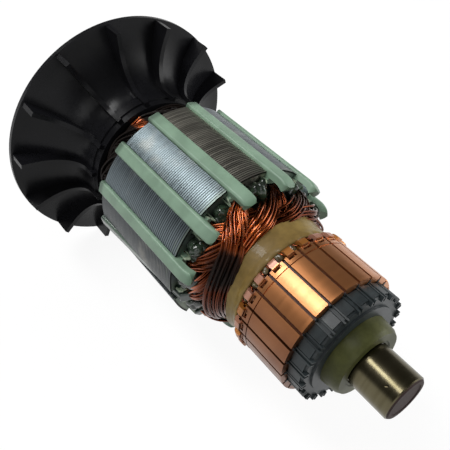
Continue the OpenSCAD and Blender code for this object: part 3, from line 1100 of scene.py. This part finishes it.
@dataclass
class Windings:
    """Twelve coils of enamelled wire, each a bundle of strands that loops through two slots."""

    strands: int = 26
    rows: int = 3  # rows of strands in a bundle's section
    wire_r: float = 0.23
    steps: int = 112
    sides: int = 6
    seed: int = 41
    rear_scale: float = 0.86
    lays: Mapping[int, Lay] = field(default_factory=lambda: dict(LAY_OF_SLOT))

    def route(self, slot: int) -> Array:
        """Closed route of a bundle: front end turn, lower side, rear end turn and upper side.

        Args:
            slot: number of the first slot, from 0.

        Returns:
            One row per point with angle, station, radius, width and thickness.
        """
        count = self.steps // 2 - 2
        front = fair_rows(np.array(LAYS[self.lays.get(slot, Lay.UNDER)]), count)
        rear = np.array(LAYS[Lay.UNDER])[::-1].copy()
        rear[:, 1] = -CORE_LENGTH - rear[:, 1] * self.rear_scale
        back = fair_rows(rear, count)
        low = (front[-1] + back[0]) / 2.0
        high = (back[-1] + front[0]) / 2.0
        return np.concatenate([front, low[None], back, high[None]])

    def section(self, rng: np.random.Generator) -> tuple[Array, Array]:
        """Places of the strands in the bundle's section, from -1 to 1 across and through it.

        Args:
            rng: seeded source of the small shifts.

        Returns:
            Two arrays: rows of a brick pattern, each place shifted a little.
        """
        cols = math.ceil(self.strands / self.rows)
        row, col = np.divmod(np.arange(self.strands), cols)
        across = ((col + 0.5 * (row % 2) + 0.25) / cols) * 2.0 - 1.0
        deep = row / (self.rows - 1) * 2.0 - 1.0
        across = across + rng.uniform(-0.5, 0.5, self.strands) / cols
        return across, deep + rng.uniform(-0.12, 0.12, self.strands)

    def strand_lines(self, slot: int) -> Array:
        """Lines of all strands of the coil that starts in a slot.

        The middle line's along direction and the way out of the head span the bundle's section.
        A strand keeps a seeded place in that section, times the bundle's width and thickness,
        and wanders by closed sines along the loop.

        Args:
            slot: number of the first slot, from 0.

        Returns:
            strands x points x 3, in metres.
        """
        rng = np.random.default_rng(self.seed + slot)
        angle, station, radius, width, thick = self.route(slot).T
        angle = angle + (slot + 0.5) * 360.0 / SLOTS
        base = place(station, radius, angle)
        along = unit(np.roll(base, -1, axis=0) - np.roll(base, 1, axis=0))
        turn = np.radians(angle)
        radial = np.stack([np.zeros_like(turn), np.sin(turn), -np.cos(turn)], axis=1)
        past = station + CORE_LENGTH / 2.0
        lift = smooth(np.abs(past) - CORE_LENGTH / 2.0, 2.0, 8.0)
        out = radial * (1.0 - 0.55 * lift)[:, None] + (np.sign(past) * lift)[:, None] * (1.0, 0.0, 0.0)
        out = unit(out - along * np.sum(along * out, axis=1, keepdims=True))
        side = np.cross(along, out)
        across, deep = self.section(rng)
        t = np.linspace(0.0, 2.0 * math.pi, len(base), endpoint=False)
        u = across[:, None] * width / 2.0
        v = deep[:, None] * thick / 2.0
        for wave in (2, 3, 5, 7, 11):
            phase = rng.uniform(0.0, 2.0 * math.pi, (2, self.strands, 1))
            size = rng.uniform(0.4, 1.0, (2, self.strands, 1)) / wave
            u += 0.42 * size[0] * np.sin(wave * t + phase[0]) * width / 3.0
            v += 0.24 * size[1] * np.sin(wave * t + phase[1])
        return base + (u[..., None] * side + v[..., None] * out) * MM

    def build(self, finish: Material) -> None:
        """Makes each coil's strands and lets them stand for the coil's solid.

        Args:
            finish: material of the wire.
        """
        for slot in range(SLOTS):
            points, faces = tubes(self.strand_lines(slot), self.wire_r * MM, self.sides)
            coil = new_object(f"coil_wire_{slot + 1:02d}", (points, faces))
            rng = np.random.default_rng(self.seed * 7 + slot)
            tones = rng.uniform(0.0, 1.0, self.strands)
            mark_strands(coil, np.repeat(tones, len(points) // self.strands))
            settle(coil, finish, "enamelled_copper", f"coil_{slot + 1:02d}")


@dataclass
class LeadBinding:
    """The ring of resin that binds the leads, from the winding head to the hooks."""

    around: int = 300
    along: int = 67
    end: float = 13.05
    wander: float = 0.1  # of the edge at the winding head
    swell: Span = (0.08, 0.1)  # at the hooks: everywhere, and by the hook's cosine
    groove: Place = (0.62, 0.05, 0.07)  # share, width as a share, and depth
    # share of the way from the winding head to the hooks, and radius
    profile: tuple[Span, ...] = (
        (0.06, 6.9), (0.02, 9.5), (0.0, 11.4), (0.01, 12.1), (0.07, 12.42), (0.2, 12.3),
        (0.42, 12.12), (0.62, 12.1), (0.84, 12.2), (0.95, 12.1), (1.0, 11.7), (1.0, 6.9),
    )
    # angle and station of the edge at the winding head
    edge: tuple[Span, ...] = (
        (0.0, 8.6), (60.0, 8.0), (120.0, 7.5), (165.0, 7.4), (190.0, 8.0), (214.0, 8.6),
        (226.0, 8.8), (249.0, 9.4), (267.0, 10.2), (300.0, 10.0), (330.0, 9.3), (360.0, 8.6),
    )

    def build(self, finish: Material) -> None:
        """Turns the profile into a ring.

        Its edge at the head wanders by a curve and a ripple, it swells at each hook by the cosine
        of the angle times the bars, and it has a shallow groove.

        Args:
            finish: material of the resin.
        """
        share, radius = fair_rows(np.array(self.profile), self.along).T[..., None]
        angle = np.linspace(0.0, 360.0, self.around, endpoint=False)[None]
        edge = np.array(self.edge)
        start = fair(edge[:, 1], edge[:, 0], angle[0])[None]
        start = start + self.wander * ripple(angle, 6, (9, 17, 29))
        outside = smooth(radius, 10.5, 12.0)
        near_head = outside * (1.0 - smooth(share, 0.0, 0.4))
        near_hooks = outside * smooth(share, 0.75, 1.0)
        hook = np.cos(np.radians((angle - BAR_PHASE) * BARS))
        radius = radius + near_head * 0.07 * ripple(angle, 5, (3, 5, 8, 13))
        radius = radius + near_hooks * (self.swell[0] + self.swell[1] * hook)
        at, width, depth = self.groove
        radius = radius - depth * outside * np.exp(-(((share - at) / width) ** 2))
        station = start + (self.end - start) * share + self.swell[1] * near_hooks * hook
        faces = ring_faces(self.along, self.around, True)
        ring = new_object("lead_resin_ring", (place(station, radius, angle), faces))
        settle(ring, finish, "lead_resin", "lead_ring")


@dataclass
class HookLeads:
    """The wires that loop from the lead ring under the hooks, and the resin between the hooks."""

    wire_r: float = 0.21
    steps: int = 28
    tone: float = 0.1
    station: float = 13.1
    radius: float = 11.75
    reach: Place = (1.25, 4.4, 0.3)  # along (mm), round (degrees) and out (mm) from the middle
    lean: float = 1.5
    lump_station: float = 13.5
    lump_radius: float = 11.55
    lump: Place = (0.75, 0.55, 0.6)  # half sizes along, out and round
    swell: Place = (0.35, 0.2, 0.4)  # what is added to them at the resin's side
    seed: int = 12

    def build(self, wire: Material, resin: Material) -> None:
        """Makes one closed wire loop per hook and one uneven lump in each gap.

        A loop's station and angle are the cosine and sine of its parameter, leaned a little.

        Args:
            wire: material of the wires.
            resin: material of the lumps.
        """
        rng = np.random.default_rng(self.seed)
        t = np.linspace(0.0, 2.0 * math.pi, self.steps, endpoint=False)[None]
        centre = (BAR_PHASE + np.arange(BARS) * 360.0 / BARS)[:, None]
        lean = rng.uniform(-1.0, 1.0, (BARS, 1))
        along, around, out = self.reach
        station = self.station + along * np.cos(t)
        angle = centre + around * np.sin(t) + lean * self.lean * np.cos(t)
        radius = self.radius + out * np.cos(t) + 0.12 * rng.uniform(-1.0, 1.0, (BARS, 1)) * np.sin(t)
        points, faces = tubes(place(station, radius, angle), self.wire_r * MM, 8)
        leads = new_object("hook_leads", (points, faces))
        mark_strands(leads, np.full(len(points), self.tone))
        settle(leads, wire, "enamelled_copper")
        between = centre[:, 0] + 180.0 / BARS
        low = hump(between, RESIN_SIDE, 70.0)
        station = self.lump_station + 0.25 * low + rng.uniform(-0.2, 0.2, BARS)
        places = np.stack([station, self.lump_radius + 0.2 * low, between], axis=1)
        sizes = self.lump + low[:, None] * self.swell
        sizes = sizes * rng.uniform(0.75, 1.15, (BARS, 3))
        blobs = new_object("hook_resin", lumps(places, sizes, 0.35, self.seed + 1))
        settle(blobs, resin, "lead_resin")


@dataclass
class BentStrips:
    """Slot strips whose ends are pressed down into the head."""

    numbers: tuple[int, ...] = (10, 11)
    press: float = 0.42
    curve: float = 1.4
    shorten: float = 0.6

    def build(self, frame: Frame, finish: Material) -> None:
        """Copies each strip, presses its end down and shortens it.

        A point sinks by the press times its distance from the face to the power of the curve.

        Args:
            frame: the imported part.
            finish: material of the strips.
        """
        for number in self.numbers:
            node = f"slot_wedge_{number:02d}"
            work = bmesh.new()
            work.from_mesh(frame.nodes[node].data)
            bmesh.ops.remove_doubles(work, verts=work.verts, dist=1e-7)
            points, faces = taken(work)
            radius = np.hypot(points[:, 1], points[:, 2])
            ahead = np.maximum(points[:, 0] / MM - CORE_FACE, 0.0)
            lower = self.press * ahead**self.curve * MM
            points[:, 1:] *= ((radius - lower) / radius)[:, None]
            points[:, 0] -= ahead * (1.0 - self.shorten) * MM
            strip = new_object(f"bent_strip_{number:02d}", (points, faces))
            soften(strip)
            settle(strip, finish, "wedge_film", node)


@dataclass
class ToothResin:
    """Dark green resin heaped on the end insulator at each tooth, between the bundles."""

    each: int = 3  # lumps per tooth
    apart: float = 4.6  # degrees
    station: float = 1.1
    radius: float = 14.0
    lump: Place = (1.35, 1.7, 1.25)  # half sizes along, out and round
    swell: Place = (0.5, 0.2, 0.3)  # what is added to them at the resin's side
    seed: int = 22

    def build(self, finish: Material) -> None:
        """Makes a few overlapping lumps per tooth at the front, fuller at the resin's side.

        Args:
            finish: material of the resin.
        """
        rng = np.random.default_rng(self.seed)
        tooth = np.repeat(np.arange(SLOTS) * 360.0 / SLOTS, self.each)
        step = np.tile(np.arange(self.each) - (self.each - 1) / 2.0, SLOTS)
        full = hump(tooth, RESIN_SIDE, 60.0)
        count = len(tooth)
        station = self.station + 0.7 * full * (step == 0) + rng.uniform(-0.2, 0.5, count)
        radius = self.radius + rng.uniform(-0.5, 0.4, count)
        angle = tooth + step * self.apart + rng.uniform(-1.2, 1.2, count)
        sizes = self.lump + full[:, None] * self.swell
        sizes = sizes * rng.uniform(0.8, 1.15, (count, 3))
        places = np.stack([station, radius, angle], axis=1)
        resin = new_object("tooth_resin", lumps(places, sizes, 0.4, self.seed + 1))
        settle(resin, finish, "insulator_resin")


@dataclass
class FilmCuffs:
    """Ends of the slot liners that stand out of the core, creased and torn."""

    rows: int = 10
    cols: int = 12
    thick: float = 0.22
    inner: float = 13.1  # radius of a flap's lower edge
    height: float = 3.3
    beside: float = 1.72
    lengths: tuple[Span, Span] = ((1.5, 2.3), (0.8, 1.2))  # at the commutator and at the fan
    torn: float = 0.25
    seed: int = 8

    def flap(self, slot: int, side: float, face: float, rng: np.random.Generator) -> tuple[Array, Array]:
        """One thin wavy flap.

        It lies beside the slot's middle, spreads with its distance from the face and ends at a
        seeded length plus a ripple across its width.

        Args:
            slot: number of the slot, from 0.
            side: 1 or -1, the side of the slot.
            face: 1 for the core's face at the commutator, -1 for the other.
            rng: seeded source of length and spread.

        Returns:
            Points of its two faces.
        """
        length = rng.uniform(*self.lengths[0 if face > 0 else 1])
        spread = rng.uniform(0.0, 0.45)
        u = np.linspace(0.0, 1.0, self.rows)[:, None]
        v = np.linspace(0.0, 1.0, self.cols)[None]
        edge = ripple(v * 300.0 + slot * 40.0, 31 + slot, (1, 2, 4))
        out = u * length * (1.0 - self.torn * (1.0 + edge))
        station = out if face > 0 else -CORE_LENGTH - out
        radius = self.inner + self.height * v
        wave = 0.12 * np.sin(5.0 * v + slot * 1.7 + side) * u
        beside = side * (self.beside + spread * u * length * 0.6 + wave)
        middle = (slot + 0.5) * 360.0 / SLOTS
        angles = [middle + np.degrees((beside + shift * self.thick) / radius) for shift in (0.5, -0.5)]
        return place(station, radius, angles[0]), place(station, radius, angles[1])

    def build(self, finish: Material) -> None:
        """Makes a flap on both sides of each slot at both faces.

        Args:
            finish: material of the film.
        """
        rng = np.random.default_rng(self.seed)
        spots = product(range(SLOTS), (-1.0, 1.0), (1.0, -1.0))
        fronts, backs = zip(*(self.flap(*spot, rng) for spot in spots))
        cuffs = new_object("film_cuffs", slabs(np.array(fronts), np.array(backs)))
        settle(cuffs, finish, "liner_film")


# ---- camera and studio


def turned(x: Vector, y: Vector, z: Vector, spot: Vector) -> Matrix:
    """Matrix of an object at a spot whose own axes point along x, y and z."""
    return Matrix.Translation(spot) @ Matrix((x, y, z)).transposed().to_4x4()


@dataclass(frozen=True)
class CameraSetup:
    """Where the camera stands and how it is turned, in millimetres of the row frame."""

    spot: Place = (107.77, -58.14, 80.83)
    right: Place = (0.6019, 0.7949, 0.0762)
    forward: Place = (-0.5583, 0.4871, -0.6716)
    lens: float = 46.94

    def build(self) -> None:
        """Makes the camera and sets it as the scene's."""
        data = bpy.data.cameras.new("camera")
        data.lens = self.lens
        data.sensor_width = 36.0
        data.clip_start = 0.005
        data.clip_end = 20.0
        camera = bpy.data.objects.new("camera", data)
        bpy.context.scene.collection.objects.link(camera)
        back = -Vector(self.forward).normalized()
        up = back.cross(Vector(self.right).normalized()).normalized()
        right = up.cross(back).normalized()
        camera.matrix_world = turned(right, up, back, Vector(self.spot) * MM)
        bpy.context.scene.camera = camera


@dataclass(frozen=True)
class Lamp:
    """A rectangular lamp that faces the part: place and size in metres, power in watts."""

    name: str
    spot: Place
    size: Span
    power: float
    aim: Place = (0.05, 0.0, 0.0)

    def build(self) -> None:
        """Makes the lamp, with its length as near as can be to the shaft's direction."""
        data = bpy.data.lights.new(self.name, "AREA")
        data.shape = "RECTANGLE"
        data.size, data.size_y = self.size
        data.energy = self.power
        lamp = bpy.data.objects.new(self.name, data)
        back = (Vector(self.spot) - Vector(self.aim)).normalized()
        side = Vector((1.0, 0.0, 0.0))
        side = (side - back * side.dot(back)).normalized()
        lamp.matrix_world = turned(side, back.cross(side), back, Vector(self.spot))
        bpy.context.scene.collection.objects.link(lamp)


@dataclass
class Studio:
    """White floor and surroundings, a dark ceiling seen only in reflections, and soft lamps."""

    floor_z: float
    floor_size: float = 3.0
    glow: float = 0.9
    ceiling: float = 0.08
    fill: float = 0.35
    lamps: tuple[Lamp, ...] = (
        Lamp("strip", (-0.19, -0.21, 0.50), (0.42, 0.13), 2.2),
        Lamp("window", (0.55, -0.55, 0.45), (0.35, 0.35), 0.8),
        Lamp("rim", (0.30, 0.50, 0.22), (0.45, 0.25), 1.6),
    )

    def world(self) -> None:
        """Makes the surroundings: white to the camera, grey to matt faces, dark above to gloss."""
        world = bpy.data.worlds.new("studio")
        bpy.context.scene.world = world
        g = empty_graph(world)
        path = g.put("ShaderNodeLightPath").outputs
        ray = g.put("ShaderNodeTexCoord").outputs["Generated"]
        height = g.put("ShaderNodeSeparateXYZ", {0: ray}).outputs[2]
        glossy = g.span(height, 0.05, 0.25, 1.0, self.ceiling)
        seen = g.most(path["Is Camera Ray"], path["Is Transmission Ray"])
        level = g.put("ShaderNodeMix", {0: path["Is Glossy Ray"], 2: self.fill, 3: glossy}).outputs[0]
        level = g.put("ShaderNodeMix", {0: seen, 2: level, 3: 1.0}).outputs[0]
        light = g.put("ShaderNodeBackground", {"Color": WHITE, "Strength": level})
        g.put("ShaderNodeOutputWorld", {0: light.outputs[0]})

    def floor(self) -> None:
        """Makes a wide white floor that shows as white and keeps a faint shadow."""
        size = self.floor_size
        corners = np.array([(-size, -size), (size, -size), (size, size), (-size, size)])
        points = np.column_stack([corners, np.full(4, self.floor_z)])
        floor = new_object("floor", (points, np.array([[0, 1, 2, 3]])), shade=False)
        material = bpy.data.materials.new("floor")
        g = empty_graph(material)
        path = g.put("ShaderNodeLightPath").outputs
        seen = g.most(path["Is Camera Ray"], path["Is Transmission Ray"])
        strength = g.times(g.most(seen, path["Is Glossy Ray"]), self.glow)
        glow = g.put("ShaderNodeEmission", {"Color": WHITE, "Strength": strength})
        matt = g.put("ShaderNodeBsdfDiffuse", {"Color": (0.12, 0.12, 0.12, 1.0)})
        both = g.put("ShaderNodeAddShader", {0: glow.outputs[0], 1: matt.outputs[0]})
        g.put("ShaderNodeOutputMaterial", {0: both.outputs[0]})
        dress(floor, material)
        floor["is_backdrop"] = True

    def build(self) -> None:
        """Builds world, floor and lamps."""
        self.world()
        self.floor()
        for lamp in self.lamps:
            lamp.build()


def main() -> None:
    """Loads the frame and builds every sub-assembly in order."""
    logging.basicConfig(level=logging.INFO, format="%(name)s: %(message)s")
    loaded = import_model()
    cad_box = [list(corner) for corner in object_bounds()]
    bpy.context.scene.view_settings.view_transform = "Standard"
    CameraSetup().build()
    Studio(floor_z=cad_box[0][2]).build()
    frame = Frame(dict(loaded["nodes"]))
    resin = INSULATOR_RESIN.build()
    film = LINER_FILM.build()
    strip = StripFilm().build()
    wire = EnamelledWire().build()
    finishes = {
        "shaft": GroundSteel().build(),
        "shaft_sleeve": SLEEVE_PLASTIC.build(),
        "front_end_insulator": resin,
        "rear_end_insulator": resin,
        "slot_liners": film,
        "slot_wedge": strip,
        "commutator_bar": BarCopper().build(),
        "commutator_moulding": CommutatorMoulding().build(),
        "fan": FAN_PLASTIC.build(),
    }
    for family, material in finishes.items():
        frame.dress(family, material)
    frame.dress("core_laminations", LaminatedSteel().build(), soft=False)
    Windings().build(wire)
    LeadBinding().build(LEAD_RESIN.build())
    HookLeads().build(wire, FLOOD_RESIN.build())
    ToothResin().build(resin)
    BentStrips().build(frame, strip)
    FilmCuffs().build(film)


if __name__ == "__main__":
    main()
